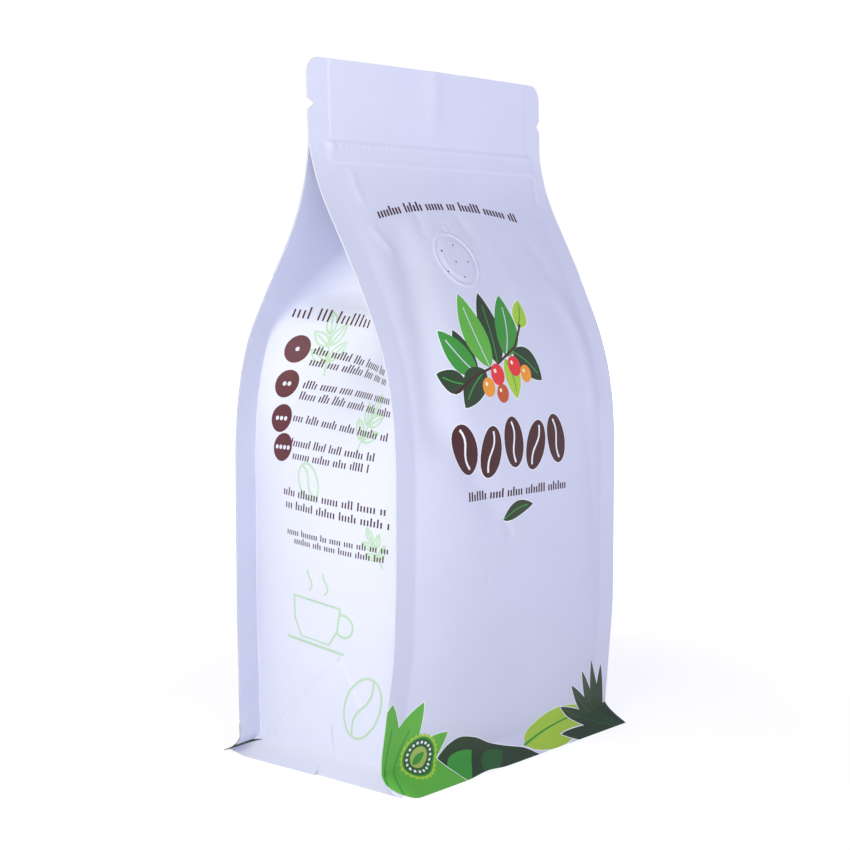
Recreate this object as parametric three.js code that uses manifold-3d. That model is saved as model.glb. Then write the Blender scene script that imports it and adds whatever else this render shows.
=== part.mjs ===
// Flat-bottom coffee bag: a filled, shut pouch of printed film that stands on its own base.
//
// Millimetres, +Z up. The front faces -Y, and the origin is on the floor below the middle of the
// bag. The bag is one sealed piece: front and back panels, two side gussets that fold inwards
// towards the top, a flat base with a sealed skirt round it, and a flat header above the zip.
// The body is lofted through level rings. Each ring runs round the front panel, the two right
// fins with the gusset between them, the back panel, and the two left fins with their gusset.

import * as THREE from "three";
import { mergeVertices } from "three/addons/utils/BufferGeometryUtils.js";
import Module from "manifold-3d";

// Driving dimensions
const BAG_HEIGHT = 255.2;
const FILM_HALF_WIDTH = 67.5;
const GUSSET_HALF_DEPTH = 39.5;
const FIN_WIDTH = 10;
const FIN_THICKNESS = 1;
const FIN_DEPTH_SHARE = 0.6; // a fin takes up no more than this share of the panel's depth
const HEADER_HALF_THICKNESS = 0.7;
const HEADER_FOOT = 228; // above this height the fins are sealed into one flat header
const SLOT_TOP = 211; // the gusset's fold has closed up between the fins here
const SLOT_SHUT = 216; // and from here the fins meet edge to edge
const TOP_CORNER_RADIUS = 6;
const SKIRT_HEIGHT = 7.6;
const SKIRT_HALF_DEPTH = 45.2;
const SKIRT_HALF_WIDTH = 64.6;
const SKIRT_CURVE = 1.4; // how sharply the skirt turns outwards towards the floor
const BASE_EAR = 2.9; // how far the skirt's corners reach past its sides
const HEADER_BOW = 2.5; // how far the header's middle stands in front of its ends
const HEADER_BOW_FOOT = 205;
const FOOT_TWIST = 2.4; // the left end of the foot sits this far back
const FOOT_TWIST_TOP = 52;
const CURL_RADIUS = 9; // the skirt's front left corner is rounded off
const CURL_SHARE = 0.85;
const CURL_INWARDS = 0.3;

// Forms that change with height, as [height, value] stations for a smooth curve
const DEPTH_AT = [
  [0, 36],
  [25, 37.6],
  [55, GUSSET_HALF_DEPTH],
  [112, GUSSET_HALF_DEPTH],
  [127, 38.7],
  [141, 36.6],
  [155, 32.6],
  [170, 25.4],
  [196, 10.6],
  [206, 5.7],
  [216, 2.3],
  [HEADER_FOOT, HEADER_HALF_THICKNESS],
  [BAG_HEIGHT, HEADER_HALF_THICKNESS],
];
const LEAN_AT = [
  [0, 0],
  [150, 0],
  [188, -1.1],
  [222, 1.3],
  [BAG_HEIGHT, 2.3],
];
const HALF_WIDTH_AT = [
  [0, 65.7],
  [160, 65.7],
  [236, FILM_HALF_WIDTH],
  [BAG_HEIGHT, FILM_HALF_WIDTH],
];
const SWAY_AT = [
  [0, -0.9],
  [160, -0.9],
  [225, 1.4],
  [BAG_HEIGHT, 1.4],
];
const PANEL_BULGE_AT = [
  [0, 2.6],
  [25, 4],
  [60, 5.2],
  [100, 5.8],
  [140, 5.2],
  [166, 3.8],
  [190, 1.8],
  [210, 0.6],
  [HEADER_FOOT, 0],
  [BAG_HEIGHT, 0],
];
const GUSSET_BULGE_AT = [
  [0, 1.6],
  [30, 4.2],
  [75, 6.4],
  [120, 5.6],
  [148, 2.6],
  [170, 0],
  [BAG_HEIGHT, 0],
];
const GUSSET_FOLD_AT = [
  [0, 0],
  [132, 0],
  [146, 3.4],
  [160, 13],
  [178, 26],
  [194, 30],
  [204, 20],
  [SLOT_TOP, 0],
  [BAG_HEIGHT, 0],
];

// Tear notches in the header's two edges
const NOTCH_HEIGHT = 238.9;
const NOTCH_HALF_MOUTH = 2.3;
const NOTCH_DEPTH = 3.4;

// The press zip and the valve are inside: they show as low relief on the film
const ZIP_LEVELS = [219, 224.5];
const ZIP_HALF_HEIGHT = 1.2; // from the middle of a ridge to its foot
const ZIP_CREST = 0.4; // from the middle of a ridge to the end of its flat top
const ZIP_RELIEF = 0.5;
const VALVE = { across: -9.1, height: 185, radius: 10.4, relief: 0.8, rim: 1.2, backing: 6 };
const VALVE_SLOPE_SPAN = 10; // the shoulder's slope is taken over this much of its height

// How squarely a ring's bulges and folds run out to their ends: 2 is a parabola
const PANEL_CURVE = 2.5;
const GUSSET_CURVE = 2.2;
const FOLD_CURVE = 1.55;

// How finely the rings are divided, and how far apart they are
const PANEL_STEPS = 20;
const GUSSET_STEPS = 12;
const FIN_STEPS = 3;
const CORNER_STEPS = 5;
const VALVE_STEPS = 28;
const SKIRT_LEVELS = [0, 1.2, 2.8, 5];
const BODY_FOOT = 16;
const BODY_STEP = 14;
const SHOULDER_FOOT = 128;
const SHOULDER_STEP = 5.5;

const FILM_COLOUR = 0xc9cbe8;

// The value at one height of a smooth curve through [height, value] stations.
function along(stations, height) {
  const last = stations.length - 1;
  if (height <= stations[0][0]) return stations[0][1];
  if (height >= stations[last][0]) return stations[last][1];
  const i = stations.findIndex(([h]) => h > height) - 1;
  const slope = (a, b) => (stations[b][1] - stations[a][1]) / (stations[b][0] - stations[a][0]);
  const span = stations[i + 1][0] - stations[i][0];
  const t = (height - stations[i][0]) / span;
  const here = slope(i, i + 1);
  const before = i > 0 ? slope(i - 1, i) : 0;
  const after = i + 2 <= last ? slope(i + 1, i + 2) : 0;
  // The curve is level at a station where its slope changes sign, so it never overshoots.
  const gradient = (a, b) => (a * b > 0 ? (2 * a * b) / (a + b) : 0);
  const start = gradient(before, here) * span;
  const end = gradient(here, after) * span;
  return (
    stations[i][1] * (1 + 2 * t) * (1 - t) ** 2 +
    start * t * (1 - t) ** 2 +
    stations[i + 1][1] * t * t * (3 - 2 * t) +
    end * t * t * (t - 1)
  );
}

const smooth = (t) => {
  const c = Math.min(Math.max(t, 0), 1);
  return c * c * (3 - 2 * c);
};

// How much of the skirt's flare is left at this height: all of it at the floor.
const flareAt = (height) => Math.max(0, 1 - height / SKIRT_HEIGHT) ** SKIRT_CURVE;

// The film's half width, which the top corners round off.
function halfWidthAt(height) {
  const full = along(HALF_WIDTH_AT, height);
  const fromTop = height - (BAG_HEIGHT - TOP_CORNER_RADIUS);
  if (fromTop <= 0) return full;
  return full - TOP_CORNER_RADIUS + Math.sqrt(TOP_CORNER_RADIUS ** 2 - fromTop ** 2);
}

// The zip's low ridges across the front and back panels.
function zipRelief(height) {
  const near = Math.min(...ZIP_LEVELS.map((level) => Math.abs(height - level)));
  return ZIP_RELIEF * (1 - smooth((near - ZIP_CREST) / (ZIP_HALF_HEIGHT - ZIP_CREST)));
}

// Half of a ring: the right half's gusset and both fins, seen as [distance out, depth] pairs that
// run from the front fin's tip to the back fin's tip.
function sideOutline(height) {
  const flare = flareAt(height);
  const depth = along(DEPTH_AT, height);
  const thick = Math.min(FIN_THICKNESS, FIN_DEPTH_SHARE * depth);
  const tip = halfWidthAt(height) + flare * (SKIRT_HALF_WIDTH + BASE_EAR - halfWidthAt(0));
  const shut = height >= SLOT_SHUT;
  const finWidth = FIN_WIDTH * (1 - smooth((height - SLOT_TOP) / (SLOT_SHUT - SLOT_TOP)));
  const wall = halfWidthAt(height) - finWidth;
  const root = wall + flare * (SKIRT_HALF_WIDTH - wall);
  const finDepth = depth + flare * (SKIRT_HALF_DEPTH - depth);
  const gussetDepth = shut ? 0 : finDepth - thick - flare * BASE_EAR;
  const bulge = along(GUSSET_BULGE_AT, height) * (1 - flare);
  const fold = along(GUSSET_FOLD_AT, height);
  const outline = [[tip, -finDepth + thick]];
  for (let i = 0; i <= GUSSET_STEPS; i++) {
    const s = (2 * i) / GUSSET_STEPS - 1;
    const out = bulge * (1 - Math.abs(s) ** GUSSET_CURVE);
    const inwards = fold * (1 - Math.abs(s) ** FOLD_CURVE);
    outline.push([root + out - inwards, s * gussetDepth]);
  }
  outline.push([tip, finDepth - thick]);
  return outline;
}

// The front or back panel's depth at a place across it, from -1 at one fin's tip to 1 at the other's.
function panelOutline(height) {
  const flare = flareAt(height);
  const tip = halfWidthAt(height) + flare * (SKIRT_HALF_WIDTH + BASE_EAR - halfWidthAt(0));
  const root = halfWidthAt(height) - FIN_WIDTH;
  const depth = along(DEPTH_AT, height) + zipRelief(height);
  const bulge = along(PANEL_BULGE_AT, height);
  const places = [];
  for (let i = 0; i < FIN_STEPS; i++) places.push(-tip + ((tip - root) * i) / FIN_STEPS);
  for (let i = 0; i <= PANEL_STEPS; i++) places.push(root * ((2 * i) / PANEL_STEPS - 1));
  for (let i = 1; i <= FIN_STEPS; i++) places.push(root + ((tip - root) * i) / FIN_STEPS);
  return places.map((x) => {
    const t = Math.min(1, Math.abs(x) / root);
    const film = depth + bulge * (1 - t ** PANEL_CURVE);
    return [x, film + flare * (SKIRT_HALF_DEPTH - film)];
  });
}

// The header is bowed, the foot a little askew, and the skirt's front left corner rounded off.
function settle(x, y, height) {
  const bowed = smooth((height - HEADER_BOW_FOOT) / (BAG_HEIGHT - HEADER_BOW_FOOT));
  const bow = HEADER_BOW * bowed * (1 - (x / FILM_HALF_WIDTH) ** 2);
  const flare = flareAt(height);
  const share = (1 - flare) * (1 - smooth(height / FOOT_TWIST_TOP));
  const twist = FOOT_TWIST * share * smooth(-x / FILM_HALF_WIDTH);
  const beyond = Math.max(0, -x - (SKIRT_HALF_WIDTH + BASE_EAR - CURL_RADIUS));
  const curl = y < 0 ? flare * (beyond ** 2 / CURL_RADIUS) * CURL_SHARE : 0;
  return [x + curl * CURL_INWARDS, y + twist + curl - bow];
}

// One level ring of points, anticlockwise seen from above, from the front panel's left end.
function ring(height) {
  const sway = along(SWAY_AT, height);
  const lean = along(LEAN_AT, height);
  const panel = panelOutline(height);
  const side = sideOutline(height);
  const places = [
    ...panel.map(([x, y]) => [x, -y]),
    ...side,
    ...panel.map(([x, y]) => [-x, y]),
    ...side.map(([x, y]) => [-x, -y]),
  ];
  return places.map(([x, y]) => {
    const [across, deep] = settle(x, y, height);
    return new THREE.Vector3(across + sway, deep + lean, height);
  });
}

// The heights of the rings: close together where the form turns, wide apart where it's plain.
function ringHeights() {
  const heights = [...SKIRT_LEVELS, SKIRT_HEIGHT];
  for (let z = BODY_FOOT; z < SHOULDER_FOOT; z += BODY_STEP) heights.push(z);
  for (let z = SHOULDER_FOOT; z < SLOT_TOP; z += SHOULDER_STEP) heights.push(z);
  heights.push(SLOT_TOP, SLOT_SHUT);
  for (const level of ZIP_LEVELS) {
    for (const from of [-ZIP_HALF_HEIGHT, -ZIP_CREST, ZIP_CREST, ZIP_HALF_HEIGHT]) heights.push(level + from);
  }
  heights.push(HEADER_FOOT, NOTCH_HEIGHT - 2 * NOTCH_HALF_MOUTH, NOTCH_HEIGHT + 2 * NOTCH_HALF_MOUTH);
  for (let i = 0; i <= CORNER_STEPS; i++) {
    const turn = (Math.PI / 2) * (i / CORNER_STEPS);
    heights.push(BAG_HEIGHT - TOP_CORNER_RADIUS * (1 - Math.sin(turn)));
  }
  return heights;
}

// A closed mesh through rings of equal length, with a fan from the middle of each end.
function loft(rings) {
  const count = rings[0].length;
  const points = rings.flat();
  const faces = [];
  for (let level = 0; level + 1 < rings.length; level++) {
    for (let i = 0; i < count; i++) {
      const a = level * count + i;
      const b = level * count + ((i + 1) % count);
      faces.push(a, b, b + count, a, b + count, a + count);
    }
  }
  const middle = (one) => {
    const box = new THREE.Box3().setFromPoints(one);
    return box.getCenter(new THREE.Vector3());
  };
  const bottom = points.push(middle(rings[0])) - 1;
  const top = points.push(middle(rings[rings.length - 1])) - 1;
  const topStart = (rings.length - 1) * count;
  for (let i = 0; i < count; i++) {
    const next = (i + 1) % count;
    faces.push(bottom, next, i);
    faces.push(top, topStart + i, topStart + next);
  }
  const geometry = new THREE.BufferGeometry().setFromPoints(points);
  geometry.setIndex(faces);
  return geometry;
}

// A sharp V cut in from the header's edge; side is -1 for the left edge and 1 for the right.
function notchCutter(side) {
  const edge = along(SWAY_AT, NOTCH_HEIGHT) + side * FILM_HALF_WIDTH;
  const outline = new THREE.Shape([
    new THREE.Vector2(edge - side * NOTCH_DEPTH, NOTCH_HEIGHT),
    new THREE.Vector2(edge + side * NOTCH_DEPTH, NOTCH_HEIGHT - 2 * NOTCH_HALF_MOUTH),
    new THREE.Vector2(edge + side * NOTCH_DEPTH, NOTCH_HEIGHT + 2 * NOTCH_HALF_MOUTH),
  ]);
  const depth = 16 * HEADER_HALF_THICKNESS;
  const cutter = new THREE.ExtrudeGeometry(outline, { depth, bevelEnabled: false });
  cutter.translate(0, 0, -depth / 2);
  cutter.rotateX(Math.PI / 2);
  return cutter;
}

// The valve's disc, pressed through the film of the front panel's shoulder.
function valveDisc() {
  const { across, height, radius, relief, rim, backing } = VALVE;
  const front = (z) => along(LEAN_AT, z) - along(DEPTH_AT, z) - along(PANEL_BULGE_AT, z);
  const rise = front(height + VALVE_SLOPE_SPAN / 2) - front(height - VALVE_SLOPE_SPAN / 2);
  const slope = Math.atan2(rise, VALVE_SLOPE_SPAN);
  const profile = [
    [0, -backing],
    [radius, -backing],
    [radius, relief - rim / 2],
    [radius - rim, relief],
    [0, relief],
  ].map(([r, y]) => new THREE.Vector2(r, y));
  const disc = new THREE.LatheGeometry(profile, VALVE_STEPS);
  disc.rotateX(Math.PI - slope);
  disc.translate(across, front(height), height);
  return disc;
}

const wasm = await Module();
wasm.setup();

function toSolid(geometry) {
  const bare = new THREE.BufferGeometry();
  bare.setAttribute("position", geometry.getAttribute("position"));
  bare.setIndex(geometry.getIndex());
  const merged = mergeVertices(bare, 1e-4);
  const index = merged.index.array;
  const triangles = [];
  for (let i = 0; i < index.length; i += 3) {
    const [a, b, c] = [index[i], index[i + 1], index[i + 2]];
    if (a !== b && b !== c && c !== a) triangles.push(a, b, c);
  }
  const mesh = new wasm.Mesh({
    numProp: 3,
    vertProperties: merged.attributes.position.array,
    triVerts: new Uint32Array(triangles),
  });
  return new wasm.Manifold(mesh);
}

function toGeometry(solid) {
  const mesh = solid.getMesh();
  const geometry = new THREE.BufferGeometry();
  geometry.setAttribute("position", new THREE.BufferAttribute(mesh.vertProperties, 3));
  geometry.setIndex(new THREE.BufferAttribute(mesh.triVerts, 1));
  return geometry;
}

function makePouch() {
  const body = toSolid(loft(ringHeights().map(ring)));
  const notched = [-1, 1].reduce((solid, side) => solid.subtract(toSolid(notchCutter(side))), body);
  const whole = notched.add(toSolid(valveDisc()));
  const flat = toGeometry(whole).toNonIndexed();
  flat.computeVertexNormals();
  const film = new THREE.MeshStandardMaterial({ color: FILM_COLOUR, roughness: 0.55, metalness: 0 });
  const pouch = new THREE.Mesh(flat, film);
  pouch.name = "pouch";
  return pouch;
}

const bag = new THREE.Group();
bag.name = "flat_bottom_bag";
bag.add(makePouch());

export default bag;
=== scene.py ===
"""A flat-bottom coffee bag in printed film, built as the sheets it is sealed from.

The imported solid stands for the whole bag. Here five thin closed sheets replace it: the front and
back panels, the two gussets and the base. Each sheet is cut out flat with its print as faces of
their own, and then placed by a function that says where each point of the film lies.
Lengths are millimetres until a mesh, lamp or camera is made, which is in metres.
"""

import math

import bpy
import numpy as np
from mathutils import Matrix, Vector
from mathutils.geometry import delaunay_2d_cdt


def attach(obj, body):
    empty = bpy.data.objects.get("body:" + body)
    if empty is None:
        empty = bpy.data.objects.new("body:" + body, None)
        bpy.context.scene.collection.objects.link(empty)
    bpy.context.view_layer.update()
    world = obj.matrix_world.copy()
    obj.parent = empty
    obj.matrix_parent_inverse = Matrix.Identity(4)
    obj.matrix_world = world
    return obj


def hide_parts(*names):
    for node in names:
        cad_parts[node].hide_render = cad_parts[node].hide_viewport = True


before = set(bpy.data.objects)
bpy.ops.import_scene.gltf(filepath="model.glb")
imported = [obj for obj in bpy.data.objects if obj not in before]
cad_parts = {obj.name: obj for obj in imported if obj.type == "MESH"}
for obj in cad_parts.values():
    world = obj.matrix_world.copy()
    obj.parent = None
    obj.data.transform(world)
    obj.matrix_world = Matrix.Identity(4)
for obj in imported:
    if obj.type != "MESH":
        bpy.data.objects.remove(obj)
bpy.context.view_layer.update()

MM = 0.001

# -------- driving dimensions
BAG_HEIGHT = 255.2
FLAT_HALF_WIDTH = 67.5
FIN_WIDTH = 10
GUSSET_HALF = 40  # half of a gusset's width between its two fins
FILM = 0.25  # thickness of the laminate
HEADER_HALF_THICKNESS = 0.28
HEADER_FOOT = 228
GUSSET_TOP = 226
TOP_CORNER_RADIUS = 6
SKIRT_HEIGHT = 7.6
SKIRT_HALF_DEPTH = 45.2
SKIRT_HALF_WIDTH = 64.6
SKIRT_CURVE = 1.4
BASE_EAR = 2.9
HEADER_BOW = 1.8
HEADER_BOW_FOOT = 205
HEADER_FOLD = 0.6
HEADER_FOLD_PLACE = -1
HEADER_FOLD_WIDTH = 5
FOOT_TWIST = 2.4
FOOT_TWIST_TOP = 52
EAR_LIFT = 1.8  # the back left ear's tip stands off the floor
EAR_LIFT_REACH = 6
EDGE_LIFT = 1.1  # and so does a stretch of the skirt's front edge
EDGE_LIFT_PLACE = -22
EDGE_LIFT_REACH = 8
FOOT_ROUNDING = (9.5, 5.2)  # across and up: the front left corner of the skirt is cut round
GUSSET_FOOT_ROUNDING = (8.5, 4.5)
BASE_ROUNDING = (0.17, 0.22)  # the base's corner there, as shares of its half width and half depth
CURL_RADIUS = 9
CURL_SHARE = 0.85
CURL_INWARDS = 0.3
NOTCH_HEIGHT = 238.9
NOTCH_HALF_MOUTH = 2.3
NOTCH_DEPTH = {"left": 3.6, "right": 1.9}
FIN_LAP = 2 * FILM + 0.05  # from a panel's outer face to that of the gusset sealed behind it
GUSSET_TRIM = 0.15  # the gusset's edge ends this far inside the panel's

# Forms that change with height, as (height, value) stations of a smooth curve
DEPTH_AT = [(0, 36), (25, 37.6), (55, 39.5), (112, 39.5), (127, 38.7), (141, 36.6), (155, 32.6),
            (170, 25.4), (196, 10.6), (206, 5.7), (216, 2.3), (HEADER_FOOT, HEADER_HALF_THICKNESS),
            (BAG_HEIGHT, HEADER_HALF_THICKNESS)]
LEAN_AT = [(0, 0), (150, 0), (188, -1.1), (222, 1.3), (BAG_HEIGHT, 2.3)]
HALF_WIDTH_AT = [(0, 65.7), (160, 65.7), (236, FLAT_HALF_WIDTH), (BAG_HEIGHT, FLAT_HALF_WIDTH)]
SWAY_AT = [(0, -0.9), (160, -0.9), (225, 1.4), (BAG_HEIGHT, 1.4)]
PANEL_BULGE_AT = [(0, 2.2), (25, 3.2), (60, 4.2), (100, 4.8), (140, 4.4), (166, 3.2), (190, 1.6),
                  (210, 0.6), (HEADER_FOOT, 0), (BAG_HEIGHT, 0)]
GUSSET_BULGE_AT = [(0, 1.6), (30, 4.2), (75, 6.4), (105, 5.6), (125, 3.2), (142, 0.8), (152, 0),
                   (BAG_HEIGHT, 0)]
GUSSET_FOLD_AT = [(0, 0), (98, 0), (115, 1.6), (128, 5), (140, 11), (150, 16.5), (160, 21), (178, 28),
                  (BAG_HEIGHT, 28)]
SPLAY_AT = [(0, 0.9), (14, 2.1), (34, 1.8), (62, 0.6), (84, 0), (BAG_HEIGHT, 0)]  # front left corner
PANEL_CURVE = 3.4
PANEL_ROUNDING = 1.2  # a panel's bends across are rounded over this reach, and a gusset's over the next
GUSSET_ROUNDING = 0.35
GUSSET_CURVE = 2.2
FOLD_PLACE = -0.13  # the fold's crease, as a share of the way to the fin: nearer to the front
FOLD_ROUNDING = 0.25

# The arch where a gusset's bulged wall ends and its folded part begins
ARCH_FOOT = 157
ARCH_RISE = 10
ARCH_SPREAD = 13


# -------- curves
def along(stations, height):
    """The value at these heights of a smooth curve through (height, value) stations."""
    at, value = np.array(stations, float).T
    slope = np.diff(value) / np.diff(at)
    before, after = slope[:-1], slope[1:]
    same_way = before * after > 0
    gradient = np.zeros(len(at))
    gradient[1:-1][same_way] = (2 * before * after)[same_way] / (before + after)[same_way]
    height = np.clip(height, at[0], at[-1])
    i = np.clip(np.searchsorted(at, height, side="right") - 1, 0, len(at) - 2)
    span = at[i + 1] - at[i]
    t = (height - at[i]) / span
    ends = value[i] * (1 + 2 * t) * (1 - t) ** 2 + value[i + 1] * t * t * (3 - 2 * t)
    tilts = gradient[i] * t * (1 - t) ** 2 + gradient[i + 1] * t * t * (t - 1)
    return ends + span * tilts


def smooth(t):
    """0 below 0, 1 above 1, and a smooth step between."""
    t = np.clip(t, 0, 1)
    return t * t * (3 - 2 * t)


def hump(t):
    """A soft hump: 1 at 0, and nearly 0 beyond 2 on either side."""
    return np.exp(-t * t)


def flare_at(height):
    """How much of the skirt's flare is left: all of it at the floor."""
    return np.maximum(0, 1 - height / SKIRT_HEIGHT) ** SKIRT_CURVE


def tip_at(height):
    """How far a fin's tip is from the middle, without the rounding of the top corners."""
    ear = SKIRT_HALF_WIDTH + BASE_EAR - along(HALF_WIDTH_AT, 0)
    return along(HALF_WIDTH_AT, height) + flare_at(height) * ear


# -------- relief in the film
def crease(across, height, path, half_width, rise):
    """A soft ridge along a path of (across, height) points, or a groove where rise is below 0."""
    points = np.array(path, float)
    steps = np.diff(points, axis=0)
    lengths = np.hypot(*steps.T)
    starts = np.concatenate([[0], np.cumsum(lengths)])
    nearest = np.full(np.shape(across), np.inf)
    share = np.zeros(np.shape(across))
    for start, step, length, run in zip(points, steps, lengths, starts):
        t = ((across - start[0]) * step[0] + (height - start[1]) * step[1]) / length**2
        t = np.clip(t, 0, 1)
        gap = np.hypot(across - start[0] - t * step[0], height - start[1] - t * step[1])
        closer = gap < nearest
        nearest = np.where(closer, gap, nearest)
        share = np.where(closer, (run + t * length) / starts[-1], share)
    fade = smooth(4 * np.minimum(share, 1 - share) + 0.15)
    return rise * fade * hump(nearest / half_width)


def ripple(across, height, seed, size):
    """A gentle unevenness: a few long waves that cross at different angles."""
    rng = np.random.default_rng(seed)
    total = np.zeros(np.shape(across))
    for wavelength in (70, 52, 41, 33, 24, 18):
        angle, phase = rng.uniform(0, 2 * np.pi, 2)
        way = np.cos(angle) * across + np.sin(angle) * height
        total = total + (wavelength / 70) * np.sin(2 * np.pi * way / wavelength + phase)
    return size * total


# Creases of the two panels: path, half width and rise
FRONT_CREASES = [
    ([(-33, 200), (-38, 182), (-43, 164), (-46, 146), (-47, 128), (-45, 112)], 8, -2.2),
    ([(-49, 218), (-49, 211), (-48, 203)], 2, 0.3),
    ([(-50, 197), (-46, 191), (-42, 186)], 2.2, 0.4),
    ([(-22.5, 205), (-21.5, 198), (-24, 192)], 2.6, -0.35),
    ([(1, 205), (2.5, 199), (5.5, 192)], 2.8, -0.35),
    ([(11, 200), (15, 186), (21, 170)], 6, 0.25),
    ([(38, 198), (44, 180), (47, 162)], 4, -0.3),
    ([(43, 180), (49, 154), (51, 122)], 5.5, 1.1),
    ([(-46, 132), (-36, 118), (-24, 103), (-11, 88)], 7, -1.1),
    ([(-13, 92), (-8.5, 86.5), (-5.5, 87)], 2.2, -0.4),
    ([(43, 128), (48, 102), (53, 72)], 3.4, -0.45),
    ([(61, 220), (59.5, 213), (57.5, 206)], 1.2, -0.35),
    ([(-23, 71), (-19, 70)], 2, -0.2),
    ([(13.5, 40), (18.5, 42)], 1.2, 0.16),
    ([(-52, 40.5), (-30, 38.7), (-14, 37)], 1.6, 0.1),
    ([(-28, 46), (-25, 36)], 1.2, 0.1),
    ([(8, 33), (24, 36)], 1.4, 0.1),
]
BACK_CREASES = [
    ([(-34, 204), (-30, 182), (-36, 160)], 5, -0.8),
    ([(20, 205), (30, 186), (38, 162)], 6, -0.8),
    ([(-8, 200), (-4, 184), (-10, 168)], 4, 0.5),
    ([(44, 128), (18, 98)], 3.5, -0.35),
    ([(-46, 92), (-22, 70)], 3, -0.25),
    ([(-12, 52), (22, 49)], 1.8, 0.15),
]
SEAL_LINE = 57.2  # where the fins' seals end in the header
SEAL_STEP = 0.14
ZIP_FOOT = 218.8
ZIP_HEAD = 226.6
ZIP_RELIEF = 0.3
ZIP_HALF_LENGTH = 60
ZIP_END = 3
ZIP_BOSS = (-56.6, 224.8)  # a pressed spot at the zip's left end
CRIMP_HEIGHT = 224.6
CRIMP_PERIOD = 3.1
CRIMP_RISE = 0.07
VALVE = {"across": -10.6, "height": 185, "radius": 11.2, "inner": 8.5}
VALVE_SLOPE = 1.15  # the film's length for each millimetre of height at the valve
WELD = {"across": -8.1, "height": 196.6, "radius": 1.9}


def zip_relief(across, height):
    """The press zip behind the film: a raised band with a crisp upper edge and crimps near one end."""
    ends = 1 - smooth((np.abs(across - 1) - ZIP_HALF_LENGTH) / ZIP_END + 0.5)
    band = smooth((height - ZIP_FOOT + 0.8) / 1.6) * (1 - smooth((height - ZIP_HEAD + 0.7) / 1.4))
    lip = 0.11 * hump((height - ZIP_HEAD + 0.9) / 0.55) + 0.06 * hump((height - ZIP_FOOT - 0.8) / 0.6)
    crimped = smooth((across + 56) / 6) * (1 - smooth((across + 27) / 12))
    wave = np.sin(2 * np.pi * across / CRIMP_PERIOD)
    crimps = CRIMP_RISE * wave * hump((height - CRIMP_HEIGHT) / 1.3) * crimped
    boss = 0.4 * hump(np.hypot(across - ZIP_BOSS[0], 1.2 * (height - ZIP_BOSS[1])) / 1.7)
    return ends * (ZIP_RELIEF * band + lip + crimps) + boss


def header_relief(across, height):
    """The header between its two seal lines stands a little proud."""
    inside = smooth((SEAL_LINE - np.abs(across)) / 1.1 + 0.5)
    return SEAL_STEP * inside * smooth((height - HEADER_FOOT + 4) / 6)


def valve_relief(across, height):
    """The valve under the film: a low disc in a ring, and a small welded dot above it."""
    r = np.hypot(across - VALVE["across"], (height - VALVE["height"]) * VALVE_SLOPE)
    plate = 0.3 * (1 - smooth((r - VALVE["radius"] - 0.2) / 1.6 + 0.5))
    ring = 0.2 * hump((r - VALVE["radius"] + 0.3) / 0.45)
    channel = -0.3 * hump((r - (VALVE["radius"] + VALVE["inner"]) / 2) / 0.8)
    dome = 0.28 * (1 - smooth((r - VALVE["inner"] + 0.5) / 1.2 + 0.5))
    dot = np.hypot(across - WELD["across"], (height - WELD["height"]) * VALVE_SLOPE)
    weld = 0.1 * hump(dot / 1.4) - 0.2 * hump((dot - WELD["radius"]) / 0.5)
    return plate + ring + channel + dome + weld


# -------- where the film lies
def settle(x, y, z, rise=None):
    """Adds the header's bow and fold, the foot's twist and splay, and the skirt's lifts and curl.

    Film that lines the skirt from below gives its own height as rise.
    """
    bowed = smooth((z - HEADER_BOW_FOOT) / (BAG_HEIGHT - HEADER_BOW_FOOT))
    bow = HEADER_BOW * bowed * (1 - (x / FLAT_HALF_WIDTH) ** 2)
    folded = smooth((z - HEADER_FOOT) / 16)
    bow = bow + HEADER_FOLD * folded * hump((x - HEADER_FOLD_PLACE) / HEADER_FOLD_WIDTH)
    flare = flare_at(z)
    twisted = (1 - flare) * (1 - smooth(z / FOOT_TWIST_TOP))
    twist = FOOT_TWIST * twisted * smooth(-x / FLAT_HALF_WIDTH)
    splay = along(SPLAY_AT, z) * smooth(-x / FLAT_HALF_WIDTH) * smooth(-y / DEPTH_AT[0][1])
    beyond = np.maximum(0, -x - (SKIRT_HALF_WIDTH + BASE_EAR - CURL_RADIUS))
    curl = np.where(y < 0, flare * beyond**2 / CURL_RADIUS * CURL_SHARE, 0)
    to_ear = np.hypot(x + SKIRT_HALF_WIDTH + BASE_EAR, y - SKIRT_HALF_DEPTH)
    lift = EAR_LIFT * hump(to_ear / EAR_LIFT_REACH)
    at_front = smooth((-y - DEPTH_AT[0][1]) / (SKIRT_HALF_DEPTH - DEPTH_AT[0][1]))
    lift = lift + EDGE_LIFT * at_front * hump((x - EDGE_LIFT_PLACE) / EDGE_LIFT_REACH)
    out_x = x + curl * CURL_INWARDS - splay + along(SWAY_AT, z)
    out_y = y + twist + curl - bow + along(LEAN_AT, z)
    return np.stack([out_x, out_y, (z if rise is None else rise) + lift * flare], -1)


def panel_depth(across, z, relief):
    """How far a panel's film lies from the middle, and how far across."""
    wall = along(HALF_WIDTH_AT, z) - FIN_WIDTH
    flare = flare_at(z)
    x = across / FLAT_HALF_WIDTH * tip_at(z)
    t = np.minimum(1, np.abs(x) / wall)
    film = along(DEPTH_AT, z) + along(PANEL_BULGE_AT, z) * (1 - t**PANEL_CURVE)
    film = film + relief * (1 - flare)
    return x, film + flare * (SKIRT_HALF_DEPTH - film)


def spread(function, across, z, reach):
    """A function's mean over a short stretch across the film, which rounds its bends."""
    total = 0
    for offset, weight in ((-1, 0.1), (-0.5, 0.22), (0, 0.36), (0.5, 0.22), (1, 0.1)):
        total = total + weight * np.array(function(across + offset * reach, z))
    return total


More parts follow.
